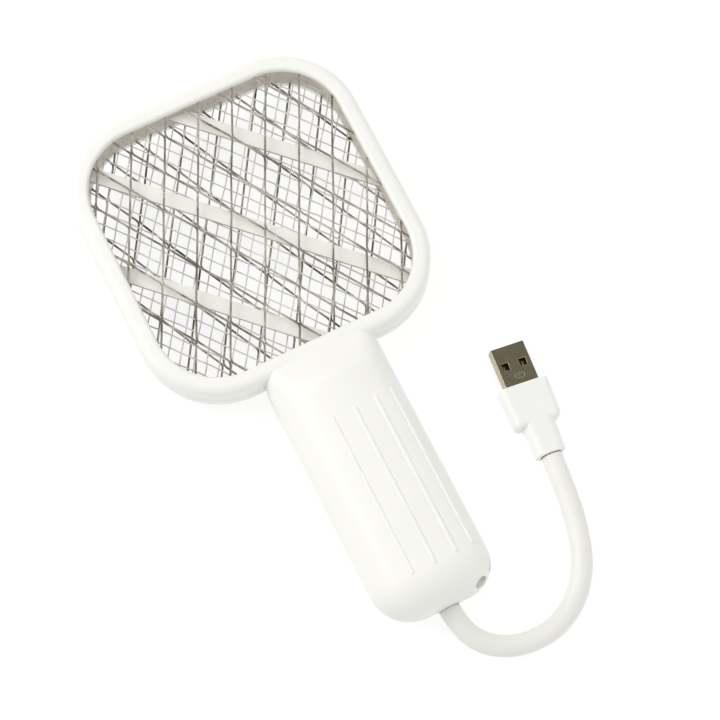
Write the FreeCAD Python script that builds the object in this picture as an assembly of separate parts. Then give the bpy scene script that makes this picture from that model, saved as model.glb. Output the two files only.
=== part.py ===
import FreeCAD, Part
import math
import os

# Rechargeable electric fly swatter: a square head with three wire grids on a stout hollow handle,
# with a short captive charging cord that ends in a USB-A plug.
# Millimetres. X is across the swatter, +Y points to the top of the head, +Z is out of the front face.
# It lies on its back: z = 0 is the flat back of the handle, and x = y = 0 is the middle of the swatter.

V = FreeCAD.Vector

# ---------------------------------------------------------------- driving dimensions
LENGTH = 198.0            # top of the head to the end of the handle
HEAD_W = 103.5            # across the head
HEAD_H = 106.0            # along the head
HEAD_R = 27.8             # outer corner radius of the head
RAIL = 6.0                # width of the head's rim, seen from the front
WALL_HEAD = 3.4           # outer wall of the head behind the rim
Z_BACK = 8.5              # back face of the head
Z_FRONT = 22.5            # front face of the head
Z_SPLIT = 14.5            # joint line between the front and the rear moulding

HANDLE_W = 40.6
HANDLE_T = 28.5
WALL = 2.0                # handle wall
CROWN_R = 40.0            # radius of the crowned front of the handle
CORNER_F = 12.0           # front long-edge radius of the handle
CORNER_B = 12.3           # rear long-edge radius of the handle
END_R_PLAIN = 14.0        # corner of the handle's end seen from the front, left side
END_R_LOOP = 11.3         # and on the right, where the lanyard hole needs the wall
END_R_FRONT = 12.0        # front edge of the end
END_R_BACK = 12.5         # rear edge of the end

GUARD_T = 0.8             # wire size of the two outer guards
GUARD_SIDE = 13.3         # side of a guard diamond
GUARD_HALF = 29.3         # half of its sharp angle, degrees
FRONT_TURN = 3.4          # the front guard's diamonds lean this way off the Y axis, degrees
REAR_TURN = -2.7          # and the rear guard's lean that way
Z_FRONT_GUARD = 19.9      # underside of the front guard
Z_REAR_GUARD = 11.5       # underside of the rear guard
GRID_T = 0.5              # wire size of the high-voltage grid
GRID_SIDE = 4.4             # fine inner grid: side of its rhombic cell
GRID_HALF = 36.75           # half the angle between its two families of wire
GRID_TURN = 1.7
Z_GRID = 15.8             # underside of the high-voltage grid
BAR_W = 5.0               # insulating crossbars of the carrier
BAR_PITCH = 30.0
BAR_T = 1.2

BUTTON_Y = -38.0
BUTTON_R = 5.45
BUTTON_TRAVEL = 0.9
BUTTON_GAP = 0.30
DISH_R = 8.6              # finger recess round the button
DISH_DEPTH = 1.5

LOOP_R = 2.0              # lanyard hole, which crosses the right corner of the handle's end
LOOP_AT = (12.44, -95.5, 17.2)       # where its two legs meet
LOOP_SIDE = (0.878, 0.479, 0.0)      # the leg that leaves through the right side
LOOP_MOUTH = (0.24, -0.75, 0.62)     # the leg that opens on the rounded end

CORD_D = 7.2
PLUG_AT = (56.0, -66.9, 4.6)
PLUG_TURN = -5.45         # plug axis from +Y, degrees
PLUG_ROLL = 5.0           # the plug leans onto its right edge, degrees
ROUTE = [
    (0.95, -95.2, 10.0), (1.5, -104.0, 9.2), (5.0, -111.8, 5.9), (12.9, -117.6, 3.75),
    (23.4, -119.7, 3.65), (33.5, -117.8, 3.65), (42.5, -111.8, 3.65), (48.6, -103.2, 3.7),
    (52.5, -92.2, 3.9), (54.8, -79.3, 4.35), PLUG_AT,
]

YT = LENGTH / 2.0                 # top of the head
YB = YT - HEAD_H                  # bottom edge of the head
YC = (YT + YB) / 2.0              # middle of the head
YE = -LENGTH / 2.0                # end of the handle
X1 = HEAD_W / 2.0
OPEN_X = X1 - RAIL                # half of the window's width
OPEN_Y = HEAD_H / 2.0 - RAIL
OPEN_R = HEAD_R - RAIL
POCK_X = X1 - WALL_HEAD
POCK_Y = HEAD_H / 2.0 - WALL_HEAD
POCK_R = HEAD_R - WALL_HEAD
PCB_Z = 9.8
PCB_T = 1.2
CELL_R = 9.15
CELL_Z = 14.6
CELL_Y0 = -89.4
CELL_Y1 = -54.6

os.makedirs("parts", exist_ok=True)
made = []


def save(name, shape):
    if not shape.isValid():
        shape = shape.removeSplitter()
    shape.exportStep("parts/" + name + ".step")
    made.append(name)
    print("%-24s solids %d faces %4d volume %9.1f valid %s" % (name, len(shape.Solids), len(shape.Faces), shape.Volume, shape.isValid()))


def box(x0, x1, y0, y1, z0, z1):
    return Part.makeBox(x1 - x0, y1 - y0, z1 - z0, V(x0, y0, z0))


def cyl(x, y, z, r, h, d=(0, 0, 1)):
    return Part.makeCylinder(r, h, V(x, y, z), V(*d))


def rr_wire(hx, hy, r, cy, z):
    c = []
    k = r * (1 - math.sqrt(0.5))
    c.append(Part.LineSegment(V(-hx + r, cy - hy, z), V(hx - r, cy - hy, z)))
    c.append(Part.Arc(V(hx - r, cy - hy, z), V(hx - k, cy - hy + k, z), V(hx, cy - hy + r, z)))
    c.append(Part.LineSegment(V(hx, cy - hy + r, z), V(hx, cy + hy - r, z)))
    c.append(Part.Arc(V(hx, cy + hy - r, z), V(hx - k, cy + hy - k, z), V(hx - r, cy + hy, z)))
    c.append(Part.LineSegment(V(hx - r, cy + hy, z), V(-hx + r, cy + hy, z)))
    c.append(Part.Arc(V(-hx + r, cy + hy, z), V(-hx + k, cy + hy - k, z), V(-hx, cy + hy - r, z)))
    c.append(Part.LineSegment(V(-hx, cy + hy - r, z), V(-hx, cy - hy + r, z)))
    c.append(Part.Arc(V(-hx, cy - hy + r, z), V(-hx + k, cy - hy + k, z), V(-hx + r, cy - hy, z)))
    return Part.Wire([e.toShape() for e in c])


def rr_prism(hx, hy, r, cy, z0, z1):
    return Part.Face(rr_wire(hx, hy, r, cy, z0)).extrude(V(0, 0, z1 - z0))


def edges_at(shape, test):
    return [e for e in shape.Edges if all(test(v.Point) for v in e.Vertexes) and test(e.CenterOfMass)]


def rod(points, r):
    # a bent wire: straight cylinders with a ball at every bend
    out = None
    for i in range(len(points) - 1):
        a, b = V(*points[i]), V(*points[i + 1])
        s = Part.makeCylinder(r, (b - a).Length, a, b - a)
        out = s if out is None else out.fuse(s)
        if i:
            out = out.fuse(Part.makeSphere(r, a))
    return out.removeSplitter()


# ---------------------------------------------------------------- handle section
# A flat back, large rear corners, short upright sides, large front corners and a crowned front.
def section(y, hw, zb, zt, inset=0.0, hw_right=None, crown=CROWN_R, corner=CORNER_F):
    t = zt - zb
    rf = min(corner, 0.42 * t) - inset
    rb = min(CORNER_B, 0.40 * t) - inset
    rc = crown - inset
    left, right = hw - inset, (hw if hw_right is None else hw_right) - inset
    zb, zt = zb + inset, zt - inset
    cz = zt - rc
    k = math.sqrt(0.5)

    def tangent(hw):
        zk = cz + math.sqrt((rc - rf) ** 2 - (hw - rf) ** 2)         # height of the front corner centre
        a = math.atan2(zk - cz, hw - rf)                              # direction from the crown's centre
        return zk, a / 2.0, rc * math.cos(a), cz + rc * math.sin(a)

    def p(x, z):
        return V(x, y, z)

    zl, hl, txl, tzl = tangent(left)
    zr, hr, txr, tzr = tangent(right)
    c = [
        Part.Arc(p(-txl, tzl), p(0, zt), p(txr, tzr)),
        Part.Arc(p(txr, tzr), p(right - rf + rf * math.cos(hr), zr + rf * math.sin(hr)), p(right, zr)),
        Part.LineSegment(p(right, zr), p(right, zb + rb)),
        Part.Arc(p(right, zb + rb), p(right - rb + rb * k, zb + rb - rb * k), p(right - rb, zb)),
        Part.LineSegment(p(right - rb, zb), p(-left + rb, zb)),
        Part.Arc(p(-left + rb, zb), p(-left + rb - rb * k, zb + rb - rb * k), p(-left, zb + rb)),
        Part.LineSegment(p(-left, zb + rb), p(-left, zl)),
        Part.Arc(p(-left, zl), p(-left + rf - rf * math.cos(hl), zl + rf * math.sin(hl)), p(-txl, tzl)),
    ]
    return Part.Wire([e.toShape() for e in c])


NECK_Y = -18.0            # the full section starts here


def ease(t):
    t = max(0.0, min(1.0, t))
    return t * t * (3 - 2 * t)


def neck_section(y, inset):
    # by the head the front is flat and level with the rim, and it swells into the crowned handle
    e = ease((-3.2 - y) / 14.8)
    zt = (Z_FRONT - 0.04) + (HANDLE_T - Z_FRONT + 0.04) * e
    zb = (Z_BACK + 0.15) * (1 - ease((-3.0 - y) / 9.0))
    t = max(0.0, min(1.0, (-4.5 - y) / 8.0))
    hw = 18.3 + (HANDLE_W / 2 - 18.3) * math.sqrt(1 - (1 - t) ** 2)
    crown = 1.0 / ((1 - e) / 500.0 + e / CROWN_R)
    corner = 3.4 + (CORNER_F - 3.4) * e ** 0.8
    return section(y, hw, zb, zt, inset, None, crown, corner)


def quarter(r, y, y_end):
    # how far a quarter-round corner of radius r has pulled in at y
    d = min(r, max(0.0, y_end + r - y))
    return r - math.sqrt(r * r - d * d)


def handle_body(inset, y_neck, r_left, r_right):
    # the rounded end, lofted through sections that shrink along quarter circles
    y_end = YE + inset
    rl, rr, rf, rb = r_left - inset, r_right - inset, END_R_FRONT - inset, END_R_BACK - inset
    n = 10
    wires = []
    for k in range(n + 1):
        y = y_end + rl * (1 - math.sin(math.radians(90.0 * k / n)))
        wires.append(section(y, HANDLE_W / 2 - quarter(rl, y, y_end), quarter(rb, y, y_end), HANDLE_T - quarter(rf, y, y_end), inset, HANDLE_W / 2 - quarter(rr, y, y_end)))
    grip = Part.Face(section(y_end + rl, HANDLE_W / 2, 0, HANDLE_T, inset)).extrude(V(0, NECK_Y - y_end - rl, 0))
    ys = [NECK_Y]
    step = 1.9
    while ys[-1] + step < y_neck:
        ys.append(ys[-1] + step)
    ys.append(y_neck)
    neck = Part.makeLoft([neck_section(y, inset) for y in ys], True, False)
    return grip.fuse(Part.makeLoft(wires, True, False)).fuse(neck).removeSplitter()


outer = handle_body(0.0, -2.7, END_R_PLAIN, END_R_LOOP)
inner = handle_body(WALL, -9.5, END_R_PLAIN, END_R_PLAIN)

front_half = box(-60, 60, YE - 5, YT + 5, Z_SPLIT, 60)
rear_half = box(-60, 60, YE - 5, YT + 5, -10, Z_SPLIT)

# ---------------------------------------------------------------- head rim, front and rear
rim_f = rr_prism(X1, HEAD_H / 2, HEAD_R, YC, Z_SPLIT, Z_FRONT)
rim_f = rim_f.makeFillet(2.8, edges_at(rim_f, lambda q: abs(q.z - Z_FRONT) < 1e-4))
rim_f = rim_f.cut(rr_prism(OPEN_X, OPEN_Y, OPEN_R, YC, Z_SPLIT - 1, Z_FRONT + 1))
near = lambda q: abs(q.z - Z_FRONT) < 1e-4 and abs(q.x) < OPEN_X + 0.1 and abs(q.y - YC) < OPEN_Y + 0.1
rim_f = rim_f.makeFillet(1.3, edges_at(rim_f, near))
rim_b = rr_prism(X1, HEAD_H / 2, HEAD_R, YC, Z_BACK, Z_SPLIT)
rim_b = rim_b.makeFillet(2.4, edges_at(rim_b, lambda q: abs(q.z - Z_BACK) < 1e-4))
rim_b = rim_b.cut(rr_prism(OPEN_X, OPEN_Y, OPEN_R, YC, Z_BACK - 1, Z_SPLIT + 1))
near = lambda q: abs(q.z - Z_BACK) < 1e-4 and abs(q.x) < OPEN_X + 0.1 and abs(q.y - YC) < OPEN_Y + 0.1
rim_b = rim_b.makeFillet(1.0, edges_at(rim_b, near))

pocket_f = rr_prism(POCK_X, POCK_Y, POCK_R, YC, Z_SPLIT - 1, Z_FRONT_GUARD + GUARD_T)
pocket_b = rr_prism(POCK_X, POCK_Y, POCK_R, YC, Z_REAR_GUARD, Z_SPLIT + 1)
channel = box(-7, 7, -14, YB + WALL_HEAD + 1.0, 12.0, 18.6)

# ---------------------------------------------------------------- screws and bosses
SHELL_SCREWS = [(-13.6, -20.5), (13.6, -20.5), (-13.4, -80.0), (13.4, -80.0)]
SEAT = 10.4               # screw head seat in the rear moulding

# fine parting groove round the outside, where the two mouldings meet
GROOVE = 0.3
seam = outer.common(box(-60, 60, YE - 5, YT + 5, Z_SPLIT - 0.16, Z_SPLIT + 0.16)).fuse(rr_prism(X1, HEAD_H / 2, HEAD_R, YC, Z_SPLIT - 0.16, Z_SPLIT + 0.16))
seam = seam.cut(handle_body(GROOVE, -2.7, END_R_PLAIN, END_R_LOOP)).cut(rr_prism(X1 - GROOVE, HEAD_H / 2 - GROOVE, HEAD_R - GROOVE, YC, Z_SPLIT - 1, Z_SPLIT + 1))

front = outer.common(front_half).cut(inner)
front = front.fuse(rim_f)
front = front.cut(pocket_f).cut(channel)
for x, y in SHELL_SCREWS:
    boss = cyl(x, y, Z_SPLIT, 2.6, 12).common(outer)
    front = front.fuse(boss).cut(cyl(x, y, Z_SPLIT - 0.5, 1.0, 8.0))
for y in (-60.0, -84.0):                                          # saddles over the cell
    rib = box(-13, 13, y - 0.7, y + 0.7, 20.0, 28).common(inner.fuse(outer)).cut(cyl(0, y - 2, CELL_Z, CELL_R + 0.25, 4, (0, 1, 0)))
    front = front.fuse(rib)

# solid corner with the slanting lanyard hole
corner = Part.Face(Part.makePolygon([V(HANDLE_W / 2 + 1, YE - 1, 14.5), V(HANDLE_W / 2 + 1, YE + 17.0, 14.5), V(HANDLE_W / 2 - 17.0, YE - 1, 14.5), V(HANDLE_W / 2 + 1, YE - 1, 14.5)])).extrude(V(0, 0, 9.4))
front = front.fuse(corner.common(outer))
la = V(*LOOP_AT)
side_leg = Part.makeCylinder(LOOP_R, 14, la, V(*LOOP_SIDE))
mouth_leg = Part.makeCone(LOOP_R + 0.2, LOOP_R + 0.8, 6.0, la, V(*LOOP_MOUTH))
front = front.cut(side_leg).cut(mouth_leg).cut(Part.makeSphere(LOOP_R + 0.2, la))

# grip ribs: low round-ended ridges along the front, right of the middle
RIBS = [(-6.6, -30.0, -86.4), (1.3, -30.0, -86.4), (9.2, -29.6, -85.9), (15.5, -28.6, -85.1)]
RIB_R = 0.95
for x, ya, yb in RIBS:
    zk = HANDLE_T - CROWN_R + math.sqrt((CROWN_R - CORNER_F) ** 2 - (HANDLE_W / 2 - CORNER_F) ** 2)
    if abs(x) < 11.4:
        z = HANDLE_T - CROWN_R + math.sqrt(CROWN_R ** 2 - x ** 2)
        nx, nz = x / CROWN_R, math.sqrt(1 - (x / CROWN_R) ** 2)
    else:
        cx = HANDLE_W / 2 - CORNER_F
        z = zk + math.sqrt(CORNER_F ** 2 - (x - cx) ** 2)
        nx, nz = (x - cx) / CORNER_F, (z - zk) / CORNER_F
    cx, cz = x - nx * (RIB_R - 0.45), z - nz * (RIB_R - 0.45)      # ridge stands 0.45 proud
    ridge = cyl(cx, yb, cz, RIB_R, ya - yb, (0, 1, 0)).fuse(Part.makeSphere(RIB_R, V(cx, ya, cz))).fuse(Part.makeSphere(RIB_R, V(cx, yb, cz)))
    front = front.fuse(ridge)
front = front.cut(seam).removeSplitter()
# the corner round the lanyard hole, parted from the rest along a diagonal plane behind the solid block
CORNER_D = 102.8
far = Part.Face(Part.makePolygon([V(CORNER_D - 130.0, -130.0, 10.0), V(60.0, -130.0, 10.0), V(60.0, 60.0 - CORNER_D, 10.0), V(CORNER_D - 130.0, -130.0, 10.0)])).extrude(V(0, 0, 30))
save("lanyard_corner", front.common(far))
save("front_shell", front.cut(far))

rear = outer.common(rear_half).cut(inner)
rear = rear.fuse(rim_b)
rear = rear.cut(pocket_b).cut(channel)
for x, y in SHELL_SCREWS:
    pillar = cyl(x, y, 0, 3.3, Z_SPLIT).common(outer)
    rear = rear.fuse(pillar).cut(cyl(x, y, -1, 2.2, SEAT + 1)).cut(cyl(x, y, 0, 1.15, 20))
for y in (-60.0, -84.0):                                          # cradle ribs under the cell
    rib = box(-11.5, 11.5, y - 0.7, y + 0.7, 1, 10.0).common(outer).cut(cyl(0, y - 2, CELL_Z, CELL_R + 0.25, 4, (0, 1, 0)))
    rear = rear.fuse(rib)
FLOOR = 3.6
rear = rear.fuse(cyl(0, BUTTON_Y, 1.0, DISH_R + 2.0, FLOOR - 1.0))
rear = rear.cut(cyl(0, BUTTON_Y, -1, DISH_R, 1 + DISH_DEPTH)).cut(cyl(0, BUTTON_Y, -1, BUTTON_R + BUTTON_GAP, 8))
BOARD_SCREWS = [(-12.6, -29.0), (12.6, -48.5)]
for x, y in BOARD_SCREWS:
    rear = rear.fuse(cyl(x, y, 0.5, 2.2, PCB_Z - 0.5).common(outer)).cut(cyl(x, y, 4.6, 0.8, 8))
LED_AT = (0.0, -26.8)
rear = rear.cut(cyl(LED_AT[0], LED_AT[1], -1, 1.55, 6))

# cord outlet through the end wall
d0 = V(*ROUTE[1]) - V(*ROUTE[0])
d0.normalize()
out_at = V(*ROUTE[0]) + d0 * ((V(*ROUTE[0]).y - YE) / -d0.y)
GLAND_R = 4.15
GLAND_FLANGE = 5.5
rear = rear.cut(cyl(out_at.x, YE - 1, out_at.z, GLAND_R + 0.05, 4.1, (0, 1, 0)))
rear = rear.cut(cyl(out_at.x, YE + 2.9, out_at.z, GLAND_FLANGE + 0.1, 3.1, (0, 1, 0)).common(box(-12, 14, YE, YE + 8, 5.8, 30)))
rear = rear.cut(seam)
save("rear_shell", rear.removeSplitter())


# ---------------------------------------------------------------- grids
def plate_with_holes(hx, hy, r, z0, t, holes):
    wires = [rr_wire(hx, hy, r, YC, z0)]
    for h in holes:
        wires.append(Part.makePolygon([V(x, y, z0) for x, y in h] + [V(h[0][0], h[0][1], z0)]))
    face = Part.makeFace(wires, "Part::FaceMakerBullseye") if len(wires) > 1 else Part.Face(wires[0])
    return face.extrude(V(0, 0, t))


def outline(hx, hy, r, n=7):
    # the window's rounded square as a convex polygon, anticlockwise
    out = []
    for cx, cy, start in ((hx - r, hy - r, 0), (r - hx, hy - r, 90), (r - hx, r - hy, 180), (hx - r, r - hy, 270)):
        for k in range(n + 1):
            t = math.radians(start + 90.0 * k / n)
            out.append((cx + r * math.cos(t), YC + cy + r * math.sin(t)))
    return out


def clip(poly, window):
    # what is left of a convex cell inside the convex window
    for i in range(len(window)):
        ax, ay = window[i]
        bx, by = window[(i + 1) % len(window)]
        if math.hypot(bx - ax, by - ay) < 1e-9:
            continue
        out = []
        for j in range(len(poly)):
            p, q = poly[j], poly[(j + 1) % len(poly)]
            sp = (bx - ax) * (p[1] - ay) - (by - ay) * (p[0] - ax)
            sq = (bx - ax) * (q[1] - ay) - (by - ay) * (q[0] - ax)
            if sp >= 0:
                out.append(p)
            if (sp > 0 > sq) or (sp < 0 < sq):
                t = sp / (sp - sq)
                out.append((p[0] + t * (q[0] - p[0]), p[1] + t * (q[1] - p[1])))
        poly = out
        if len(poly) < 3:
            return []
    clean = []
    for p in poly:
        if not clean or math.hypot(p[0] - clean[-1][0], p[1] - clean[-1][1]) > 0.02:
            clean.append(p)
    while len(clean) > 2 and math.hypot(clean[0][0] - clean[-1][0], clean[0][1] - clean[-1][1]) <= 0.02:
        clean.pop()
    return clean


def area(poly):
    return abs(sum(poly[i][0] * poly[(i + 1) % len(poly)][1] - poly[(i + 1) % len(poly)][0] * poly[i][1] for i in range(len(poly)))) / 2 if len(poly) > 2 else 0.0


def cells(a, b, origin, shrink, hx, hy, r, least):
    # rhombic cells of a lattice, each pulled in by half a wire and trimmed by the window
    window = outline(hx, hy, r)
    la, lb = math.hypot(*a), math.hypot(*b)
    sin = abs(a[0] * b[1] - a[1] * b[0]) / (la * lb)
    fa, fb = shrink / sin / la, shrink / sin / lb
    out = []
    for i in range(-45, 45):
        for j in range(-45, 45):
            q = []
            for u, w in ((fa, fb), (1 - fa, fb), (1 - fa, 1 - fb), (fa, 1 - fb)):
                q.append((origin[0] + (i + u) * a[0] + (j + w) * b[0], origin[1] + (i + u) * a[1] + (j + w) * b[1]))
            q = clip(q, window)
            if area(q) > least:
                out.append(q)
    return out


def lattice(turn, half=GUARD_HALF, side=GUARD_SIDE):
    a1 = math.radians(-90 + turn + half)
    a2 = math.radians(-90 + turn - half)
    return (side * math.cos(a1), side * math.sin(a1)), (side * math.cos(a2), side * math.sin(a2))


FRONT_NODE = (-2.38, YC - 16.7)      # a joint of two wires in the front guard
REAR_NODE = (0.46, YC + 29.44)
EDGE = 0.25
a, b = lattice(FRONT_TURN)
save("front_guard_mesh", plate_with_holes(POCK_X - EDGE, POCK_Y - EDGE, POCK_R - EDGE, Z_FRONT_GUARD, GUARD_T, cells(a, b, FRONT_NODE, GUARD_T / 2, OPEN_X, OPEN_Y, OPEN_R, 2.0)))
a, b = lattice(REAR_TURN)
save("rear_guard_mesh", plate_with_holes(POCK_X - EDGE, POCK_Y - EDGE, POCK_R - EDGE, Z_REAR_GUARD, GUARD_T, cells(a, b, REAR_NODE, GUARD_T / 2, OPEN_X, OPEN_Y, OPEN_R, 2.0)))
GRID_NODE = (-0.97, 41.29)           # a crossing of two wires in the fine grid
a, b = lattice(GRID_TURN, GRID_HALF, GRID_SIDE)
GRID_EDGE = 1.3
save("high_voltage_grid", plate_with_holes(OPEN_X + GRID_EDGE, OPEN_Y + GRID_EDGE, OPEN_R + GRID_EDGE, Z_GRID, GRID_T, cells(a, b, GRID_NODE, GRID_T / 2, OPEN_X, OPEN_Y, OPEN_R, 1.0)))

Z_RING0, Z_RING1 = Z_REAR_GUARD + GUARD_T, Z_FRONT_GUARD
ring = rr_prism(POCK_X - EDGE, POCK_Y - EDGE, POCK_R - EDGE, YC, Z_RING0, Z_RING1)
ring = ring.cut(rr_prism(OPEN_X, OPEN_Y, OPEN_R, YC, Z_RING0 - 1, Z_RING1 + 1))
ring = ring.cut(rr_prism(OPEN_X + GRID_EDGE + 0.1, OPEN_Y + GRID_EDGE + 0.1, OPEN_R + GRID_EDGE + 0.1, YC, Z_GRID, Z_GRID + GRID_T))
slab = rr_prism(OPEN_X + 0.6, OPEN_Y + 0.6, OPEN_R + 0.6, YC, Z_GRID + GRID_T, Z_GRID + GRID_T + BAR_T)
for k in (-1, 0, 1):
    bar = box(-90, 90, k * BAR_PITCH - BAR_W / 2, k * BAR_PITCH + BAR_W / 2, 0, 40)
    bar.rotate(V(0, 0, 0), V(0, 0, 1), -45)
    bar.translate(V(0, YC, 0))
    ring = ring.fuse(bar.common(slab))
ring = ring.cut(box(-5, 5, YB, YB + RAIL + 0.5, Z_RING0 - 1, Z_GRID + GRID_T))      # notch for the leads
save("grid_carrier", ring.removeSplitter())

# ---------------------------------------------------------------- cell
cell = cyl(0, CELL_Y0, CELL_Z, CELL_R, CELL_Y1 - CELL_Y0, (0, 1, 0))
cell = cell.makeFillet(0.6, edges_at(cell, lambda q: abs(q.y - CELL_Y0) < 1e-3 or abs(q.y - CELL_Y1) < 1e-3))
cell = cell.fuse(cyl(0, CELL_Y1 - 0.2, CELL_Z, 3.0, 0.9, (0, 1, 0)))
save("battery_cell", cell.removeSplitter())
tab_a = box(-3, 3, CELL_Y1 + 0.7, CELL_Y1 + 0.95, CELL_Z - 4, CELL_Z + 4)
tab_b = box(-3, 3, CELL_Y0 - 0.25, CELL_Y0, CELL_Z - 4, CELL_Z + 4)
save("battery_tabs", Part.makeCompound([tab_a, tab_b]))

# ---------------------------------------------------------------- circuit board and what is on it
PX, PY0, PY1 = 15.4, -52.0, -25.0
TOP = PCB_Z + PCB_T
pcb = box(-PX, PX, PY0, PY1, PCB_Z, TOP)
pcb = pcb.makeFillet(1.5, [e for e in pcb.Edges if abs(e.Vertexes[0].Z - e.Vertexes[1].Z) > 1])
for x, y in BOARD_SCREWS:
    pcb = pcb.cut(cyl(x, y, PCB_Z - 1, 1.0, 4))
save("circuit_board", pcb)
save("board_screws", Part.makeCompound([
    cyl(x, y, TOP, 1.7, 1.1).fuse(cyl(x, y, TOP - 6.0, 0.78, 6.1)).removeSplitter() for x, y in BOARD_SCREWS]))

TX, TY = -6.3, -44.5
core = box(TX - 6.5, TX + 6.5, TY - 3, TY + 3, TOP + 1.0, TOP + 12.0)
for sx in (-1, 1):
    core = core.cut(box(min(TX + sx * 2.0, TX + sx * 5.0), max(TX + sx * 2.0, TX + sx * 5.0), TY - 4, TY + 4, TOP + 2.8, TOP + 10.2))
save("transformer_core", core)
wind = box(TX - 4.8, TX + 4.8, TY - 5.4, TY + 5.4, TOP + 3.0, TOP + 10.0)
wind = wind.makeFillet(1.5, [e for e in wind.Edges if abs(e.Vertexes[0].Z - e.Vertexes[1].Z) > 1])
wind = wind.cut(box(TX - 2.1, TX + 2.1, TY - 3.1, TY + 3.1, TOP, TOP + 14))
wind = wind.fuse(box(TX - 4.8, TX + 4.8, TY - 5.4, TY - 3.2, TOP, TOP + 3.2)).fuse(box(TX - 4.8, TX + 4.8, TY + 3.2, TY + 5.4, TOP, TOP + 3.2))
save("transformer_winding", wind.removeSplitter())

cap = box(1.5, 13.5, -33.5, -28.0, TOP + 0.8, TOP + 11.5)
cap = cap.makeFillet(0.8, cap.Edges)
cap = cap.fuse(cyl(3.5, -30.75, TOP, 0.35, 1.5)).fuse(cyl(11.5, -30.75, TOP, 0.35, 1.5))
save("high_voltage_capacitor", cap.removeSplitter())
diodes = []
for k in range(3):
    y = -37.6 - 3.4 * k
    d = cyl(5.0, y, TOP + 1.5, 1.25, 5.0, (1, 0, 0)).fuse(rod([(3.9, y, TOP), (3.9, y, TOP + 1.5), (11.1, y, TOP + 1.5), (11.1, y, TOP)], 0.35))
    diodes.append(d.removeSplitter())
save("rectifier_diodes", Part.makeCompound(diodes))
tr = cyl(-9.0, -31.0, TOP + 1.2, 2.4, 4.6).cut(box(-12, -6, -34, -32.2, TOP, TOP + 8))
for k in (-1, 0, 1):
    tr = tr.fuse(box(-9.2 + 1.4 * k, -8.8 + 1.4 * k, -31.4, -31.0, TOP, TOP + 1.4))
save("switching_transistor", tr.removeSplitter())
chip = box(4.7, 9.7, -51.0, -47.3, TOP + 0.15, TOP + 1.6)
chip = chip.cut(box(4.7, 9.7, -51.0, -50.7, TOP + 1.1, TOP + 1.7))
for k in range(4):
    x = 5.5 + 1.1 * k
    chip = chip.fuse(box(x, x + 0.4, -51.5, -46.8, TOP, TOP + 0.5))
save("charge_controller", chip.removeSplitter())
res = cyl(-8.0, -36.3, TOP + 1.3, 1.05, 5.2, (1, 0, 0)).fuse(rod([(-9.1, -36.3, TOP), (-9.1, -36.3, TOP + 1.3), (-1.7, -36.3, TOP + 1.3), (-1.7, -36.3, TOP)], 0.3))
save("bleed_resistor", res.removeSplitter())

# ---------------------------------------------------------------- push button
sw = box(-3.0, 3.0, BUTTON_Y - 3.0, BUTTON_Y + 3.0, 6.2, PCB_Z)
sw = sw.cut(cyl(0, BUTTON_Y, 5, 1.77, PCB_Z - 5 - 0.5))
save("tact_switch", sw)
save("tact_plunger", cyl(0, BUTTON_Y, 4.9, 1.7, 3.2))
btn = cyl(0, BUTTON_Y, 0.5, BUTTON_R, 3.5)
btn = btn.makeFillet(0.9, edges_at(btn, lambda q: abs(q.z - 0.5) < 1e-3))
btn = btn.fuse(cyl(0, BUTTON_Y, 3.9, 7.1, 1.0)).removeSplitter()
save("power_button", btn)

led = cyl(LED_AT[0], LED_AT[1], 6.9, 1.5, PCB_Z - 6.9)
save("indicator_led", led)
save("led_window", cyl(LED_AT[0], LED_AT[1], 0.2, 1.5, 6.5))

# ---------------------------------------------------------------- fasteners
scr = []
for x, y in SHELL_SCREWS:
    s = cyl(x, y, SEAT - 1.4, 1.9, 1.4)
    s = s.cut(box(x - 1.2, x + 1.2, y - 0.22, y + 0.22, SEAT - 1.6, SEAT - 0.8)).cut(box(x - 0.22, x + 0.22, y - 1.2, y + 1.2, SEAT - 1.6, SEAT - 0.8))
    s = s.fuse(cyl(x, y, SEAT - 0.1, 0.97, 9.6))
    scr.append(s.removeSplitter())
save("shell_screws", Part.makeCompound(scr))

# ---------------------------------------------------------------- leads
zl = 14.2
grid_leads = [
    rod([(0.0, -26.0, TOP + 0.5), (0.0, -22.0, 15.9), (0.0, -6.0, 15.9), (0.0, YB + RAIL - 1.4, 15.3)], 0.45),
    rod([(-4.0, -26.0, TOP + 0.5), (-4.0, -22.0, 17.6), (-4.0, -4.4, 17.6)], 0.45),
    rod([(4.0, -26.0, TOP + 0.5), (4.0, -22.0, 13.0), (4.0, -4.4, 13.0)], 0.45),
]
save("grid_leads", Part.makeCompound(grid_leads))
save("battery_leads", Part.makeCompound([
    rod([(2.2, CELL_Y1 + 1.5, CELL_Z + 2), (2.2, -52.6, CELL_Z + 2), (2.2, -51.2, TOP + 0.6)], 0.55),
    rod([(-3.6, CELL_Y0 - 0.9, CELL_Z), (-10.05, CELL_Y0 - 0.9, CELL_Z + 1), (-10.05, -53.0, CELL_Z + 1), (-10.6, -51.2, TOP + 0.6)], 0.55)]))
c0 = V(*ROUTE[0])
save("cord_leads", Part.makeCompound([
    rod([(c0.x + 1.6, c0.y + 0.45, c0.z), (c0.x + 1.6, -92.2, c0.z), (10.05, -91.6, 13.5), (10.05, -86.0, CELL_Z + 1), (10.05, -53.4, CELL_Z + 1), (11.4, -51.0, TOP + 0.6)], 0.55),
    rod([(c0.x - 1.6, c0.y + 0.45, c0.z), (c0.x - 1.6, -92.5, c0.z), (9.6, -92.2, 18.0), (9.6, -53.4, 18.0), (13.9, -51.0, TOP + 0.6)], 0.55)]))


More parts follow.
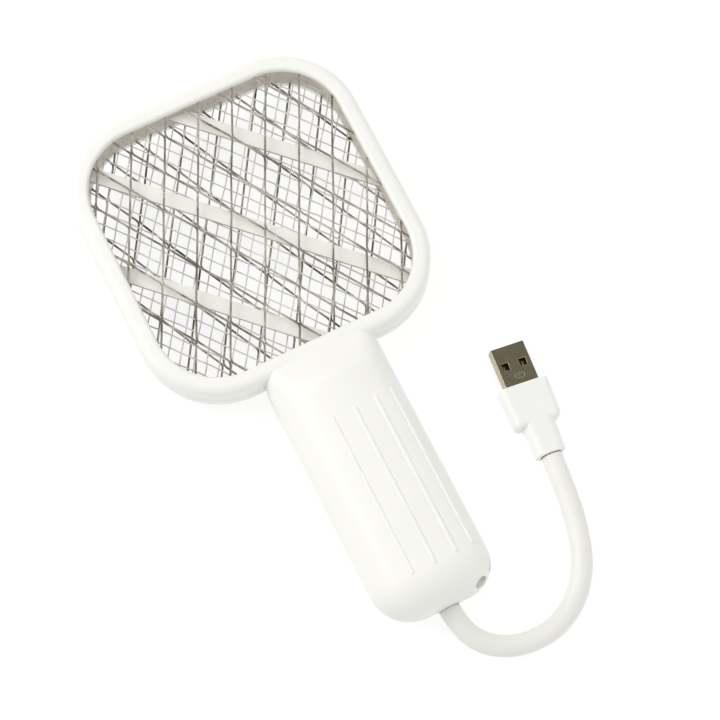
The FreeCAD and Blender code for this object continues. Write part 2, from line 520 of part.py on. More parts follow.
# ---------------------------------------------------------------- cord
def tube_path(pts):
    P = [V(*p) for p in pts]
    edges = []
    last = P[0]
    radii = []
    for i in range(1, len(P) - 1):
        u, w = P[i - 1] - P[i], P[i + 1] - P[i]
        lu, lw = u.Length, w.Length
        u.normalize()
        w.normalize()
        turn = math.pi - u.getAngle(w)
        back = 0.45 * min(lu, lw)
        r = back / math.tan(turn / 2)
        radii.append(round(r, 1))
        s, e = P[i] + u * back, P[i] + w * back
        bis = u + w
        bis.normalize()
        m = P[i] + bis * (r / math.cos(turn / 2) - r)
        edges.append(Part.LineSegment(last, s).toShape())
        edges.append(Part.Arc(s, m, e).toShape())
        last = e
    edges.append(Part.LineSegment(last, P[-1]).toShape())
    return Part.Wire(edges), radii


path, radii = tube_path(ROUTE)
print("cord arc radii mm", radii, "diameters", [round(r / CORD_D, 1) for r in radii])
start = V(*ROUTE[0])
prof = Part.Wire([Part.makeCircle(CORD_D / 2, start, d0)])
cord = path.makePipeShell([prof], True, True)
print("cord length mm", round(path.Length, 2), "volume", round(cord.Volume, 1), "section x length", round(math.pi * CORD_D ** 2 / 4 * path.Length, 1))
save("usb_cord", cord)

# rubber bush in the end wall, bored along the cord
gl = cyl(out_at.x, YE, out_at.z, GLAND_R, 3.1, (0, 1, 0)).common(outer)
gl = gl.fuse(cyl(out_at.x, YE + 2.95, out_at.z, GLAND_FLANGE, 0.9, (0, 1, 0)).common(rear_half).common(box(-12, 14, YE, YE + 8, 5.88, 30)))
gl = gl.cut(Part.makeCylinder(CORD_D / 2 + 0.02, 20, start - d0 * 8, d0))
save("cord_gland", gl.removeSplitter())


# ---------------------------------------------------------------- plug
def place(shape):
    shape.rotate(V(0, 0, 0), V(0, 1, 0), PLUG_ROLL)
    shape.rotate(V(0, 0, 0), V(0, 0, 1), PLUG_TURN)
    shape.translate(V(*PLUG_AT))
    return shape


BODY_L0, BODY_L1, SHELL_L = 11.0, 25.8, 40.0
NECK_W, NECK_T, BODY_W, BODY_T = 10.4, 7.6, 17.6, 7.9


def rounded(y, w, t, r):
    # rounded rectangle across the plug's axis
    k = r * (1 - math.sqrt(0.5))
    x, z = w / 2, t / 2
    c = [Part.LineSegment(V(-x + r, y, -z), V(x - r, y, -z)), Part.Arc(V(x - r, y, -z), V(x - k, y, -z + k), V(x, y, -z + r)),
         Part.LineSegment(V(x, y, -z + r), V(x, y, z - r)), Part.Arc(V(x, y, z - r), V(x - k, y, z - k), V(x - r, y, z)),
         Part.LineSegment(V(x - r, y, z), V(-x + r, y, z)), Part.Arc(V(-x + r, y, z), V(-x + k, y, z - k), V(-x, y, z - r)),
         Part.LineSegment(V(-x, y, z - r), V(-x, y, -z + r)), Part.Arc(V(-x, y, -z + r), V(-x + k, y, -z + k), V(-x + r, y, -z))]
    return Part.Wire([e.toShape() for e in c])


neck = Part.makeLoft([rounded(0.0, NECK_W, NECK_T, 3.4), rounded(BODY_L0 + 1.9, NECK_W + 1.4, BODY_T - 0.06, 3.5)], True, True)
neck = neck.makeFillet(0.5, edges_at(neck, lambda q: abs(q.y) < 1e-3))
w0 = BODY_W / 2 - 0.6
prof = Part.makePolygon([V(-w0, BODY_L0, -BODY_T / 2), V(w0, BODY_L0, -BODY_T / 2), V(BODY_W / 2, BODY_L1, -BODY_T / 2), V(-BODY_W / 2, BODY_L1, -BODY_T / 2), V(-w0, BODY_L0, -BODY_T / 2)])
body = Part.Face(prof).extrude(V(0, 0, BODY_T))
body = body.makeFillet(2.1, [e for e in body.Edges if abs(e.Vertexes[0].Y - e.Vertexes[1].Y) > 5])
body = body.makeFillet(0.8, edges_at(body, lambda q: abs(q.y - BODY_L1) < 1e-3))
body = body.makeFillet(1.9, edges_at(body, lambda q: abs(q.y - BODY_L0) < 1e-3))
over = neck.fuse(body).removeSplitter()
over = over.cut(box(-6.02, 6.02, BODY_L1 - 3.0, BODY_L1 + 1, -2.27, 2.27))
save("usb_overmould", place(over))

sh = box(-6.0, 6.0, BODY_L1 - 3.0, SHELL_L, -2.25, 2.25)
sh = sh.makeFillet(0.32, [e for e in sh.Edges if abs(e.Vertexes[0].Y - e.Vertexes[1].Y) > 1])
sh = sh.cut(box(-5.7, 5.7, BODY_L1 - 4.0, SHELL_L + 1, -1.95, 1.95))
WIN_W, WIN_L, WIN_X, WIN_T = 2.3, 2.6, 3.15, 33.0
for sx in (-1, 1):
    sh = sh.cut(box(sx * WIN_X - WIN_W / 2, sx * WIN_X + WIN_W / 2, WIN_T - WIN_L / 2, WIN_T + WIN_L / 2, -3, 3))
    for sz in (-1, 1):                                             # eased edges, as punched
        hoop = [Part.makePolygon([V(sx * WIN_X + i * (WIN_W / 2 + g), WIN_T + j * (WIN_L / 2 + g), sz * z) for i, j in ((-1, -1), (1, -1), (1, 1), (-1, 1), (-1, -1))]) for g, z in ((0.0, 2.09), (0.2, 2.29))]
        sh = sh.cut(Part.makeLoft(hoop, True, True))


def slot_prism(hx, hy, x, y, z0, z1):
    # flat prism with half-round ends, long across the plug
    s = box(x - hx + hy, x + hx - hy, y - hy, y + hy, z0, z1)
    return s.fuse(cyl(x - hx + hy, y, z0, hy, z1 - z0)).fuse(cyl(x + hx - hy, y, z0, hy, z1 - z0)).removeSplitter()


# small plain oblong bead pressed in the metal near the moulding
bead = slot_prism(1.85, 0.95, 0.3, 28.8, 2.2, 2.36).cut(slot_prism(1.55, 0.65, 0.3, 28.8, 2.1, 2.5))
sh = sh.fuse(bead).fuse(slot_prism(0.95, 0.14, 0.3, 28.8, 2.2, 2.34)).removeSplitter()
save("usb_shell", place(sh))
tongue = box(-5.6, 5.6, BODY_L1 - 2.9, SHELL_L - 0.6, -1.93, -0.05)
for k in range(4):
    x = -3.5 + k * 7.0 / 3
    tongue = tongue.cut(box(x - 0.5, x + 0.5, BODY_L1 + 3.0, SHELL_L - 1.6, -0.25, 0.5))
save("usb_tongue", place(tongue))
contacts = []
for k in range(4):
    x = -3.5 + k * 7.0 / 3
    contacts.append(place(box(x - 0.48, x + 0.48, BODY_L1 + 3.05, SHELL_L - 1.65, -0.25, 0.02)))
save("usb_contacts", Part.makeCompound(contacts))

print(len(made), "nodes")
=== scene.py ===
import bpy
import bmesh
import math
import random
from mathutils import Vector, Matrix, noise


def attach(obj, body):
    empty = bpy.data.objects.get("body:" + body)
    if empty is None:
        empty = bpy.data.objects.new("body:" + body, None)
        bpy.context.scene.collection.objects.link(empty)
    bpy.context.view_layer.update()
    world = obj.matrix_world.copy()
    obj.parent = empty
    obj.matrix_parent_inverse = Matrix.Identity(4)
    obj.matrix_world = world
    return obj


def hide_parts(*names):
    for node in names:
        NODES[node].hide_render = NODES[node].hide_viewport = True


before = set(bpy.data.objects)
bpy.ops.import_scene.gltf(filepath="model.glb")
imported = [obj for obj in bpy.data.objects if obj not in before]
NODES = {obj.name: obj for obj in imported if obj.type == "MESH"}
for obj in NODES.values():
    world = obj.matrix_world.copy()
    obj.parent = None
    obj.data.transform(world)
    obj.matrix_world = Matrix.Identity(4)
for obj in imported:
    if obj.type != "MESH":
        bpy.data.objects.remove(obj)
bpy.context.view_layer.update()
MM = 0.001
scene = bpy.context.scene

# ------------------------------------------------------------------ camera
cam_data = bpy.data.cameras.new("camera")
cam = bpy.data.objects.new("camera", cam_data)
scene.collection.objects.link(cam)
cam_data.sensor_width = 36.0
cam_data.lens = 118.04
cam_data.shift_x = 0.0677
cam_data.shift_y = -0.0005
cam_data.clip_end = 20.0
CAM_DIR = Vector((-0.13738, -0.27981, 0.95018)).normalized()
cam.location = Vector((0.0, -0.00067, 0.0)) + CAM_DIR * 0.79727
cam.rotation_euler = (-CAM_DIR).to_track_quat("-Z", "Y").to_euler()
scene.camera = cam


# ------------------------------------------------------------------ small helpers
def link(ob):
    scene.collection.objects.link(ob)
    return ob


def mesh_object(name, bm, smooth=True, sharp=40.0):
    me = bpy.data.meshes.new(name)
    bm.normal_update()
    bm.to_mesh(me)
    bm.free()
    if smooth:
        me.polygons.foreach_set("use_smooth", [True] * len(me.polygons))
        me.set_sharp_from_angle(angle=math.radians(sharp))
    return link(bpy.data.objects.new(name, me))


def settle(ob, body, slot, mat, *nodes):
    # one finished piece: its material, body and the CAD nodes it stands for; the finish slot argument is not used
    ob.data.materials.clear()
    ob.data.materials.append(mat)
    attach(ob, body)
    if nodes:
        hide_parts(*nodes)
    return ob


def apply_modifiers(ob):
    deps = bpy.context.evaluated_depsgraph_get()
    me = bpy.data.meshes.new_from_object(ob.evaluated_get(deps))
    old = ob.data
    ob.modifiers.clear()
    ob.data = me
    bpy.data.meshes.remove(old)


# ------------------------------------------------------------------ materials
class Mat:
    def __init__(self, name, **base):
        self.m = bpy.data.materials.new(name)
        self.m.use_nodes = True
        self.t = self.m.node_tree
        self.t.nodes.clear()
        self.out = self.t.nodes.new("ShaderNodeOutputMaterial")
        self.p = self.t.nodes.new("ShaderNodeBsdfPrincipled")
        self.t.links.new(self.p.outputs[0], self.out.inputs[0])
        for k, v in base.items():
            self.p.inputs[k.replace("_", " ")].default_value = v
        g = self.t.nodes.new("ShaderNodeTexCoord")
        self.co = g.outputs["Object"]

    def node(self, kind, **props):
        n = self.t.nodes.new(kind)
        for k, v in props.items():
            setattr(n, k, v)
        return n

    def noise(self, scale, detail=3.0, rough=0.55, stretch=None, distortion=0.0):
        n = self.node("ShaderNodeTexNoise")
        n.inputs["Scale"].default_value = scale
        n.inputs["Detail"].default_value = detail
        n.inputs["Roughness"].default_value = rough
        n.inputs["Distortion"].default_value = distortion
        src = self.co
        if stretch:
            mp = self.node("ShaderNodeMapping")
            mp.inputs["Scale"].default_value = stretch
            self.t.links.new(src, mp.inputs["Vector"])
            src = mp.outputs[0]
        self.t.links.new(src, n.inputs["Vector"])
        return n.outputs["Fac"]

    def ramp(self, fac, stops):
        n = self.node("ShaderNodeValToRGB")
        e = n.color_ramp.elements
        while len(e) < len(stops):
            e.new(0.5)
        for el, (pos, col) in zip(e, stops):
            el.position = pos
            el.color = tuple(col) + (1.0,) if len(col) == 3 else col
        self.t.links.new(fac, n.inputs["Fac"])
        return n.outputs["Color"]

    def remap(self, fac, lo, hi, a=0.25, b=0.75):
        n = self.node("ShaderNodeMapRange")
        n.inputs["From Min"].default_value = a
        n.inputs["From Max"].default_value = b
        n.inputs["To Min"].default_value = lo
        n.inputs["To Max"].default_value = hi
        self.t.links.new(fac, n.inputs["Value"])
        return n.outputs["Result"]

    def color(self, sock):
        self.t.links.new(sock, self.p.inputs["Base Color"])
        return self

    def rough(self, sock):
        self.t.links.new(sock, self.p.inputs["Roughness"])
        return self

    def bump(self, fac, strength, distance):
        n = self.node("ShaderNodeBump")
        n.inputs["Strength"].default_value = strength
        n.inputs["Distance"].default_value = distance
        self.t.links.new(fac, n.inputs["Height"])
        prev = self.p.inputs["Normal"].links
        if prev:
            self.t.links.new(prev[0].from_socket, n.inputs["Normal"])
        self.t.links.new(n.outputs["Normal"], self.p.inputs["Normal"])
        return self


def plastic(name, col, spread=0.012, rough=0.36, sss=0.0, tex=2600.0, bump=0.06, spec=0.5, speck=False):
    m = Mat(name, Specular_IOR_Level=spec, IOR=1.49)
    lo = tuple(c * (1 - spread) for c in col)
    hi = tuple(min(1.0, c * (1 + spread * 0.6)) for c in col)
    stops = [(0.30, lo), (0.55, col), (0.75, hi)]
    m.color(m.ramp(m.noise(38.0, 4.0, 0.6), stops))
    m.rough(m.remap(m.noise(90.0, 5.0, 0.6), rough - 0.05, rough + 0.06))
    m.bump(m.noise(tex, 3.0, 0.6), bump, 0.00006)
    m.bump(m.noise(55.0, 2.0, 0.5), 0.05, 0.0006)
    if sss:
        m.p.inputs["Subsurface Weight"].default_value = sss
        m.p.inputs["Subsurface Radius"].default_value = (0.0016, 0.0014, 0.0011)
        m.p.inputs["Subsurface Scale"].default_value = 1.0
    return m.m


def metal(name, col, dark, rough=0.3, grain=(1.0, 1.0, 1.0), scale=900.0, bump=0.12):
    m = Mat(name, Metallic=1.0)
    m.color(m.ramp(m.noise(240.0, 5.0, 0.65), [(0.28, dark), (0.72, col)]))
    m.rough(m.remap(m.noise(scale, 4.0, 0.6, grain), rough - 0.07, rough + 0.1))
    m.bump(m.noise(scale, 3.0, 0.6, grain), bump, 0.00004)
    return m.m


def drawn_wire(name, dark, light, metallic, rough):
    # nickel-plated wire: darker and brighter stretches follow each other along it at random, with fine die lines
    m = Mat(name, Metallic=metallic)
    m.color(m.ramp(m.noise(88.0, 5.0, 0.62, distortion=0.6), [(0.36, dark), (0.50, tuple((a + b) / 2 for a, b in zip(dark, light))), (0.64, light)]))
    m.rough(m.remap(m.noise(700.0, 4.0, 0.6), rough - 0.07, rough + 0.12))
    m.bump(m.noise(1800.0, 3.0, 0.6), 0.12, 0.00003)
    return m.m


def carrier(name):
    # translucent white moulding: its upright walls, picked by surface normal, are painted darker and warmer than the
    # faces of the bars as painted shade
    m = Mat(name, Specular_IOR_Level=0.4, IOR=1.49)
    m.p.inputs["Subsurface Weight"].default_value = 0.06
    m.p.inputs["Subsurface Radius"].default_value = (0.0016, 0.0014, 0.0011)
    m.p.inputs["Subsurface Scale"].default_value = 1.0
    geo = m.node("ShaderNodeNewGeometry")
    sep = m.node("ShaderNodeSeparateXYZ")
    m.t.links.new(geo.outputs["Normal"], sep.inputs[0])
    shade_mask_by_normal = m.remap(sep.outputs["Z"], 0.0, 1.0, 0.25, 0.75)
    # painted shade: the darker beige on upright walls stands in for the shade they sit in
    wall_painted_shade = m.ramp(m.noise(46.0, 4.0, 0.6), [(0.3, (0.545, 0.505, 0.42)), (0.7, (0.60, 0.56, 0.48))])
    top = m.ramp(m.noise(38.0, 4.0, 0.6), [(0.3, (0.775, 0.755, 0.715)), (0.7, (0.815, 0.80, 0.765))])
    mix = m.node("ShaderNodeMix", data_type="RGBA")
    m.t.links.new(shade_mask_by_normal, mix.inputs["Factor"])
    m.t.links.new(wall_painted_shade, mix.inputs[6])
    m.t.links.new(top, mix.inputs[7])
    m.color(mix.outputs[2])
    m.rough(m.remap(m.noise(90.0, 5.0, 0.6), 0.38, 0.50))
    m.bump(m.noise(2200.0, 3.0, 0.6), 0.07, 0.00006)
    return m.m


WHITE = (0.845, 0.838, 0.812)
M = {
    "white_shell": plastic("white_shell", WHITE, sss=0.06),
    "carrier_white": carrier("carrier_white"),
    "guard_wire": drawn_wire("guard_wire", (0.23, 0.205, 0.175), (0.84, 0.80, 0.72), 0.72, 0.22),
    # darker copy of the guard wire for the rear guard: painted shade for the deeper layer
    "guard_wire_rear_shaded": drawn_wire("guard_wire_rear_shaded", (0.09, 0.08, 0.07), (0.66, 0.62, 0.55), 0.86, 0.24),
    "grid_wire": drawn_wire("grid_wire", (0.58, 0.565, 0.54), (0.84, 0.825, 0.79), 0.42, 0.44),
    "cell_wrap": plastic("cell_wrap", (0.10, 0.28, 0.50), 0.08, 0.30),
    "nickel_strip": metal("nickel_strip", (0.78, 0.75, 0.70), (0.60, 0.58, 0.53), 0.33, (1.0, 12.0, 1.0)),
    "board_green": plastic("board_green", (0.03, 0.17, 0.07), 0.15, 0.34),
    "ferrite": plastic("ferrite", (0.045, 0.045, 0.05), 0.2, 0.62, tex=1800.0, bump=0.3),
    "winding": metal("winding", (0.72, 0.33, 0.13), (0.42, 0.17, 0.06), 0.32, (1.0, 1.0, 14.0)),
    "film_capacitor": plastic("film_capacitor", (0.42, 0.07, 0.045), 0.1, 0.25),
    "black_epoxy": plastic("black_epoxy", (0.02, 0.02, 0.022), 0.2, 0.5),
    "resistor_body": plastic("resistor_body", (0.55, 0.42, 0.25), 0.1, 0.45),
    "switch_black": plastic("switch_black", (0.025, 0.025, 0.027), 0.2, 0.42),
    "button_grey": plastic("button_grey", (0.50, 0.51, 0.51), 0.03, 0.44, tex=1500.0, bump=0.15),
    "screw_steel": metal("screw_steel", (0.55, 0.55, 0.56), (0.35, 0.35, 0.36), 0.3, (6.0, 6.0, 1.0)),
    "lead_red": plastic("lead_red", (0.52, 0.03, 0.025), 0.08, 0.4),
    "cord_white": plastic("cord_white", (0.80, 0.792, 0.768), 0.010, 0.40, 0.10, tex=3200.0, bump=0.09),
    # the gland bushing is real, but its near-black colour is painted shade for the gap round the cord
    "gland_grey": plastic("gland_grey", (0.085, 0.081, 0.070), 0.10, 0.55, tex=1800.0, bump=0.2),
    "plug_white": plastic("plug_white", (0.835, 0.83, 0.815), 0.008, 0.33, 0.06),
    "plug_nickel": metal("plug_nickel", (0.46, 0.41, 0.285), (0.36, 0.31, 0.21), 0.20, (1.0, 9.0, 1.0), 700.0, 0.08),
    # lighter copy of the plug's metal: painted highlight for the bead's bright outline
    "bead_painted_highlight": metal("bead_painted_highlight", (0.80, 0.76, 0.64), (0.62, 0.58, 0.46), 0.30),
    "plug_tongue": plastic("plug_tongue", (0.022, 0.020, 0.018), 0.08, 0.45),
    "contact_gold": metal("contact_gold", (0.62, 0.43, 0.19), (0.44, 0.28, 0.10), 0.26),
}
for name, col in (("led_lens", (0.75, 0.10, 0.06)), ("window_clear", (0.80, 0.82, 0.80))):
    m = Mat(name, Transmission_Weight=0.55, IOR=1.49)
    m.color(m.ramp(m.noise(420.0, 3.0, 0.5), [(0.3, tuple(c * 0.9 for c in col)), (0.7, col)]))
    m.rough(m.remap(m.noise(900.0, 3.0, 0.5), 0.12, 0.24))
    M[name] = m.m


# every CAD node that stays on show takes its slot's material
SHOWN = {
    "front_shell": "white_shell", "lanyard_corner": "white_shell", "rear_shell": "white_shell", "grid_carrier": "carrier_white",
    "front_guard_mesh": "guard_wire", "rear_guard_mesh": "guard_wire", "high_voltage_grid": "grid_wire",
    "battery_cell": "cell_wrap", "battery_tabs": "nickel_strip", "circuit_board": "board_green",
    "board_screws": "screw_steel", "transformer_core": "ferrite", "transformer_winding": "winding",
    "high_voltage_capacitor": "film_capacitor", "rectifier_diodes": "black_epoxy", "switching_transistor": "black_epoxy",
    "charge_controller": "black_epoxy", "bleed_resistor": "resistor_body", "tact_switch": "switch_black",
    "tact_plunger": "switch_black", "power_button": "button_grey", "indicator_led": "led_lens", "led_window": "window_clear",
    "shell_screws": "screw_steel", "grid_leads": "lead_red", "battery_leads": "lead_red", "cord_leads": "lead_red",
    "usb_cord": "cord_white", "cord_gland": "gland_grey", "usb_overmould": "plug_white", "usb_shell": "plug_nickel",
    "usb_tongue": "plug_tongue", "usb_contacts": "contact_gold",
}
for name, ob in NODES.items():
    mat = M[SHOWN[name]]
    if not ob.data.materials:
        ob.data.materials.append(mat)
    for k in range(len(ob.data.materials)):
        ob.data.materials[k] = mat

# ------------------------------------------------------------------ charging cord
ROUTE = [
    (0.95, -95.2, 10.0), (1.5, -104.0, 9.2), (5.0, -111.8, 5.9), (12.9, -117.6, 3.75),
    (23.4, -119.7, 3.65), (33.5, -117.8, 3.65), (42.5, -111.8, 3.65), (48.6, -103.2, 3.7),
    (52.5, -92.2, 3.9), (54.8, -79.3, 4.35), (56.0, -66.9, 4.6),
]
CORD_D = 7.2 * MM
cu = bpy.data.curves.new("charging_cord", "CURVE")
cu.dimensions = "3D"
sp = cu.splines.new("NURBS")
sp.points.add(len(ROUTE) - 1)
for pt, p in zip(sp.points, ROUTE):
    pt.co = (p[0] * MM, p[1] * MM, p[2] * MM, 1.0)
sp.order_u = 3
sp.use_endpoint_u = True
sp.resolution_u = 14
cu.resolution_u = 14
cu.bevel_depth = CORD_D / 2
cu.bevel_resolution = 9
cu.use_fill_caps = True
cord = link(bpy.data.objects.new("charging_cord", cu))
settle(cord, "swatter", "cord_white", M["cord_white"], "usb_cord")


def collar(name, at, axis, r0, r1, l0, l1, n=56):
    # a thin rounded ring round the cord, r0 to r1 wide and l0 to l1 along its axis
    axis = Vector(axis).normalized()
    u = axis.orthogonal().normalized()
    w = axis.cross(u)
    rm, lm, a, b = (r0 + r1) / 2, (l0 + l1) / 2, (r1 - r0) / 2, (l1 - l0) / 2
    bm = bmesh.new()
    rings = []
    for k in range(n):
        t = 2 * math.pi * k / n
        rad = u * math.cos(t) + w * math.sin(t)
        ring = []
        for j in range(10):
            q = 2 * math.pi * j / 10
            ring.append(bm.verts.new((Vector(at) + rad * (rm + a * math.cos(q)) + axis * (lm + b * math.sin(q))) * MM))
        rings.append(ring)
    for k in range(n):
        p, q = rings[k], rings[(k + 1) % n]
        for j in range(10):
            bm.faces.new((p[j], q[j], q[(j + 1) % 10], p[(j + 1) % 10]))
    bmesh.ops.recalc_face_normals(bm, faces=bm.faces)
    return mesh_object(name, bm)


last = Vector(ROUTE[-1])
# a near-black ring at the plug's neck end: painted shade for the gap where the cord goes in
settle(collar("neck_shade_ring", last, last - Vector(ROUTE[-2]), 3.45, 3.68, -0.28, 0.03), "swatter", "gland_grey", M["gland_grey"])
# the bead pressed in the plug's metal
PLUG_AT, PLUG_TURN, PLUG_ROLL = Vector((56.0, -66.9, 4.6)), -5.45, 5.0
PLUG = Matrix.Translation(PLUG_AT) @ Matrix.Rotation(math.radians(PLUG_TURN), 4, "Z") @ Matrix.Rotation(math.radians(PLUG_ROLL), 4, "Y")


def bead_loop(hx, hy, n=12):
    out = []
    for side, start in ((1, -90), (-1, 90)):
        for k in range(n + 1):
            t = math.radians(start + 180.0 * k / n)
            out.append(Vector((0.3 + side * (hx - hy) + hy * math.cos(t), 28.8 + hy * math.sin(t), 2.27)))
    return out


def bead(name):
    bm = bmesh.new()
    for pts, r, closed in ((bead_loop(1.7, 0.8), 0.17, True), ([Vector((-0.55 + 0.17 * k, 28.8, 2.27)) for k in range(11)], 0.13, False)):
        rings = []
        n = len(pts)
        for i, p in enumerate(pts):
            a = pts[(i - 1) % n] if closed else pts[max(i - 1, 0)]
            b = pts[(i + 1) % n] if closed else pts[min(i + 1, n - 1)]
            d = (b - a).normalized()
            side = Vector((0, 0, 1)).cross(d).normalized()
            ring = []
            for k in range(8):
                t = 2 * math.pi * k / 8
                ring.append(bm.verts.new(PLUG @ (p + side * (r * math.cos(t)) + Vector((0, 0, 1)) * (0.75 * r * math.sin(t))) * MM))
            rings.append(ring)
        for i in range(n if closed else n - 1):
            a, b = rings[i], rings[(i + 1) % n]
            for k in range(8):
                bm.faces.new((a[k], a[(k + 1) % 8], b[(k + 1) % 8], b[k]))
        if not closed:
            bm.faces.new(list(reversed(rings[0])))
            bm.faces.new(rings[-1])
    bmesh.ops.recalc_face_normals(bm, faces=bm.faces)
    return mesh_object(name, bm)


# the bead takes the lighter copy of the plug metal: painted highlight
settle(bead("plug_bead"), "swatter", "plug_nickel", M["bead_painted_highlight"])

# ------------------------------------------------------------------ bent and welded wire
YC = 46.0
OPEN_X, OPEN_Y, OPEN_R = 45.75, 47.0, 21.8


def inside(x, y, grow):
    # within the head's window, grown outward by that much into the pocket
    hx, hy, r = OPEN_X + grow, OPEN_Y + grow, OPEN_R + grow
    dx, dy = abs(x) - (hx - r), abs(y - YC) - (hy - r)
    if dx > 0 and dy > 0:
        return math.hypot(dx, dy) <= r
    return dx <= r and dy <= r


def strands(pts, grow):
    # the stretches of a polyline that lie inside the window
    out, cur = [], []
    for i in range(len(pts) - 1):
        p, q = pts[i], pts[i + 1]
        ip, iq = inside(p.x, p.y, grow), inside(q.x, q.y, grow)
        if ip and not cur:
            cur = [p]
        if ip != iq:
            a, b = (p, q) if ip else (q, p)
            for _ in range(24):
                m = (a + b) / 2
                if inside(m.x, m.y, grow):
                    a = m
                else:
                    b = m
            if ip:
                out.append(cur + [a])
                cur = []
            else:
                cur = [a, q]
        elif ip:
            cur.append(q)
    if len(cur) > 1:
        out.append(cur)
    return [c for c in out if sum((c[k + 1] - c[k]).length for k in range(len(c) - 1)) > 1.2]


def rounded(pts, cut, n=4):
    # every corner of a polyline eased with a short arc-like curve
    out = [pts[0]]
    for i in range(1, len(pts) - 1):
        p, a, b = pts[i], pts[i - 1], pts[i + 1]
        ta, tb = min(cut, (a - p).length * 0.48), min(cut, (b - p).length * 0.48)
        s, e = p + (a - p).normalized() * ta, p + (b - p).normalized() * tb
        for k in range(n + 1):
            t = k / n
            out.append(s * (1 - t) ** 2 + p * 2 * t * (1 - t) + e * t * t)
    out.append(pts[-1])
    return out


def tube(bm, pts, r, sides):
    # a closed tube through points in the window's plane, in millimetres
    clean = [pts[0]]
    for p in pts[1:]:
        if (p - clean[-1]).length > 0.03:
            clean.append(p)
    pts = clean
    if len(pts) < 2:
        return
    rings = []
    for i, p in enumerate(pts):
        d = (pts[min(i + 1, len(pts) - 1)] - pts[max(i - 1, 0)]).normalized()
        side = Vector((0, 0, 1)).cross(d).normalized()
        up = d.cross(side)
        ring = []
        for k in range(sides):
            t = 2 * math.pi * (k + 0.5) / sides
            ring.append(bm.verts.new((p + side * (r * math.cos(t)) + up * (r * math.sin(t))) * MM))
        rings.append(ring)
    for a, b in zip(rings, rings[1:]):
        for k in range(sides):
            bm.faces.new((a[k], a[(k + 1) % sides], b[(k + 1) % sides], b[k]))
    bm.faces.new(list(reversed(rings[0])))
    bm.faces.new(rings[-1])


def rim_loop(grow, z, n=10):
    hx, hy, r = OPEN_X + grow, OPEN_Y + grow, OPEN_R + grow
    out = []
    for cx, cy, start in ((hx - r, hy - r, 0), (r - hx, hy - r, 90), (r - hx, r - hy, 180), (hx - r, r - hy, 270)):
        for k in range(n + 1):
            t = math.radians(start + 90.0 * k / n)
            out.append(Vector((cx + r * math.cos(t), YC + cy + r * math.sin(t), z)))
    return out


def frame_band(bm, g0, g1, z0, z1):
    # the flat edge frame that a guard's wires are welded to, hidden in the rim's pocket
    loops = [rim_loop(g0, z0), rim_loop(g1, z0), rim_loop(g1, z1), rim_loop(g0, z1)]
    vs = [[bm.verts.new(p * MM) for p in lp] for lp in loops]
    n = len(vs[0])
    for a in range(4):
        b = (a + 1) % 4
        for k in range(n):
            bm.faces.new((vs[a][k], vs[b][k], vs[b][(k + 1) % n], vs[a][(k + 1) % n]))


GUARD_SIDE, GUARD_HALF = 13.3, 29.3


def guard(name, turn, node, z, wire_r, seed):
    # zigzag wires, each welded to its neighbours where the bends touch
    a1 = math.radians(-90 + turn + GUARD_HALF)
    a2 = math.radians(-90 + turn - GUARD_HALF)
    e1 = Vector((math.cos(a1), math.sin(a1), 0)) * GUARD_SIDE
    e2 = Vector((math.cos(a2), math.sin(a2), 0)) * GUARD_SIDE
    lng = (e1 + e2).normalized()
    sht = (e1 - e2).normalized()
    n0 = Vector((node[0], node[1], z))
    rnd = random.Random(seed)
    wob = {}

    def at(i, j):
        if (i, j) not in wob:
            wob[(i, j)] = Vector((rnd.uniform(-0.16, 0.16), rnd.uniform(-0.16, 0.16), 0))
        return n0 + e1 * i + e2 * j + wob[(i, j)]

    bm = bmesh.new()
    for k in range(-12, 13):
        # wire k swings between the node columns k and k + 1
        pts = []
        for t in range(-14, 15):
            # column k node: i - j = k ; column k+1 node: i - j = k + 1
            j = t
            p = at(j + k, j) + sht * (wire_r * 0.96)
            q = at(j + k + 1, j) - sht * (wire_r * 0.96)
            h = 0.62
            pts += [p - lng * h, p + lng * h, q - lng * h, q + lng * h]
        for s in strands(rounded(pts, 1.15), 1.5):
            tube(bm, s, wire_r, 8)
    frame_band(bm, 0.95, 2.1, z - wire_r * 0.9, z + wire_r * 0.9)
    return mesh_object(name, bm)


def fine_grid(name):
    bm = bmesh.new()
    rnd = random.Random(11)
    for fam, (lay, z) in enumerate(((-125.05, 15.96), (-51.55, 16.13))):
        ux, uy = math.cos(math.radians(lay)), math.sin(math.radians(lay))
        nx, ny = -uy, ux
        for k in range(-17, 18):
            off = -0.97 * nx + (41.29 - YC) * ny + 4.22 * k + rnd.uniform(-0.16, 0.16)
            lean = rnd.uniform(-0.004, 0.004)
            pts = []
            t = -70.0
            while t <= 70.0:
                x, y = ux * t + nx * off, uy * t + ny * off
                w = noise.noise(Vector((x * 0.09, y * 0.09, 3.1))) * 0.42 + noise.noise(Vector((x * 0.3, y * 0.3, 7.7 + fam))) * 0.12 + lean * t
                pts.append(Vector((x + nx * w, YC + y + ny * w, z + 0.05 * noise.noise(Vector((x * 0.12, y * 0.12, 1.3))))))
                t += 2.0
            for s in strands(pts, 1.2):
                tube(bm, s, 0.25, 8)
    frame_band(bm, 0.8, 1.3, 15.85, 16.25)
    return mesh_object(name, bm)


def lip(name, z0, z1):
    # the moulded lip that closes the gap round a grid's edge, flush with the window's wall
    bm = bmesh.new()
    frame_band(bm, 0.03, 0.72, z0, z1)
    bmesh.ops.recalc_face_normals(bm, faces=bm.faces)
    return mesh_object(name, bm)


settle(guard("front_guard", 3.4, (-2.38, YC - 16.7), 20.3, 0.38, 5), "swatter", "guard_wire", M["guard_wire"], "front_guard_mesh")
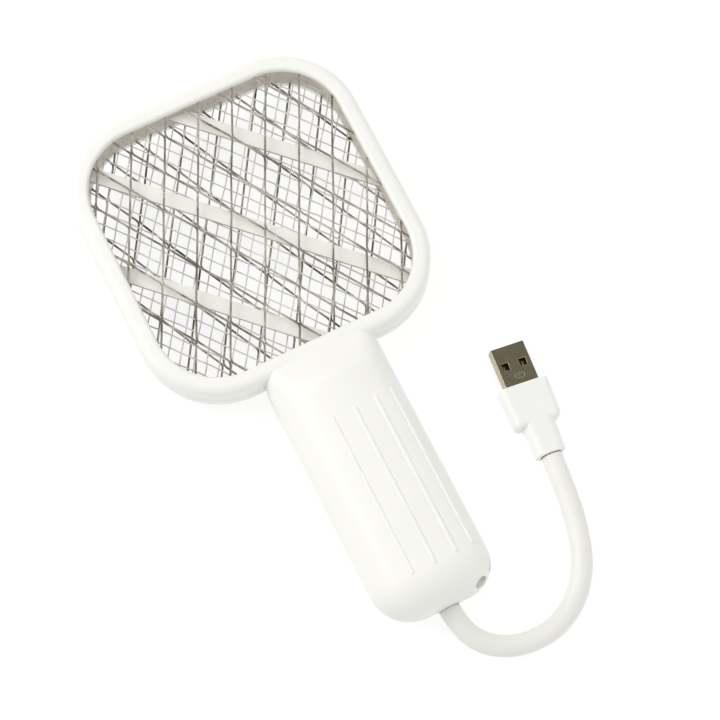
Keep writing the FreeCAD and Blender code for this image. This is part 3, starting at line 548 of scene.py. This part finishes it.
# the rear guard takes the darker copy of the wire: painted shade
settle(guard("rear_guard", -2.7, (0.46, YC + 29.44), 11.9, 0.38, 9), "swatter", "guard_wire", M["guard_wire_rear_shaded"], "rear_guard_mesh")
settle(fine_grid("fine_grid"), "swatter", "grid_wire", M["grid_wire"], "high_voltage_grid")
for name, z0, z1 in (("front_lip", 19.88, 20.72), ("grid_lip", 15.78, 16.32), ("rear_lip", 11.48, 12.32)):
    settle(lip(name, z0, z1), "swatter", "carrier_white", M["carrier_white"])

# ------------------------------------------------------------------ floor and light
bm = bmesh.new()
N = 48
R_FLOOR = 3.0
ring = [bm.verts.new((R_FLOOR * math.cos(2 * math.pi * k / N), R_FLOOR * math.sin(2 * math.pi * k / N), 0.0)) for k in range(N)]
bm.faces.new(ring)
floor = mesh_object("studio_floor", bm, smooth=False)
floor.location.z = -0.0001
m = Mat("studio_floor", Specular_IOR_Level=0.1, Emission_Color=(1.0, 1.0, 1.0, 1.0), Emission_Strength=0.74)
m.color(m.ramp(m.noise(5.0, 2.0, 0.5), [(0.3, (0.29, 0.29, 0.288)), (0.7, (0.31, 0.31, 0.308))]))
m.rough(m.remap(m.noise(60.0, 3.0, 0.5), 0.62, 0.72))
floor.data.materials.append(m.m)

world = bpy.data.worlds.new("studio")
scene.world = world
world.use_nodes = True
wt = world.node_tree
bg = wt.nodes["Background"]
bg.inputs["Strength"].default_value = 0.75
tc = wt.nodes.new("ShaderNodeTexCoord")
sep = wt.nodes.new("ShaderNodeSeparateXYZ")
wr = wt.nodes.new("ShaderNodeValToRGB")
wt.links.new(tc.outputs["Generated"], sep.inputs[0])
wt.links.new(sep.outputs["Z"], wr.inputs["Fac"])
wt.links.new(wr.outputs["Color"], bg.inputs["Color"])
e = wr.color_ramp.elements
e[0].position, e[0].color = 0.30, (0.95, 0.96, 0.94, 1.0)
e[1].position, e[1].color = 0.92, (0.40, 0.40, 0.39, 1.0)


def area(name, where, at, size, power, color, glossy=True):
    li = bpy.data.lights.new(name, "AREA")
    li.shape = "SQUARE"
    li.size = size
    li.energy = power
    li.color = color
    ob = link(bpy.data.objects.new(name, li))
    ob.location = where
    ob.rotation_euler = (Vector(at) - Vector(where)).to_track_quat("-Z", "Y").to_euler()
    ob.visible_glossy = glossy
    return ob


area("key_softbox", (-0.75, 0.70, 0.95), (0.0, 0.0, 0.0), 0.9, 9.6, (1.0, 0.985, 0.955))
area("top_softbox", (0.10, 0.05, 1.5), (0.0, 0.0, 0.0), 1.4, 8.3, (1.0, 1.0, 1.0), glossy=False)
area("fill_softbox", (0.62, -0.80, 0.80), (0.0, -0.02, 0.0), 0.9, 2.3, (1.0, 0.995, 0.98), glossy=False)
scene.view_settings.view_transform = "Standard"
scene.view_settings.look = "None"
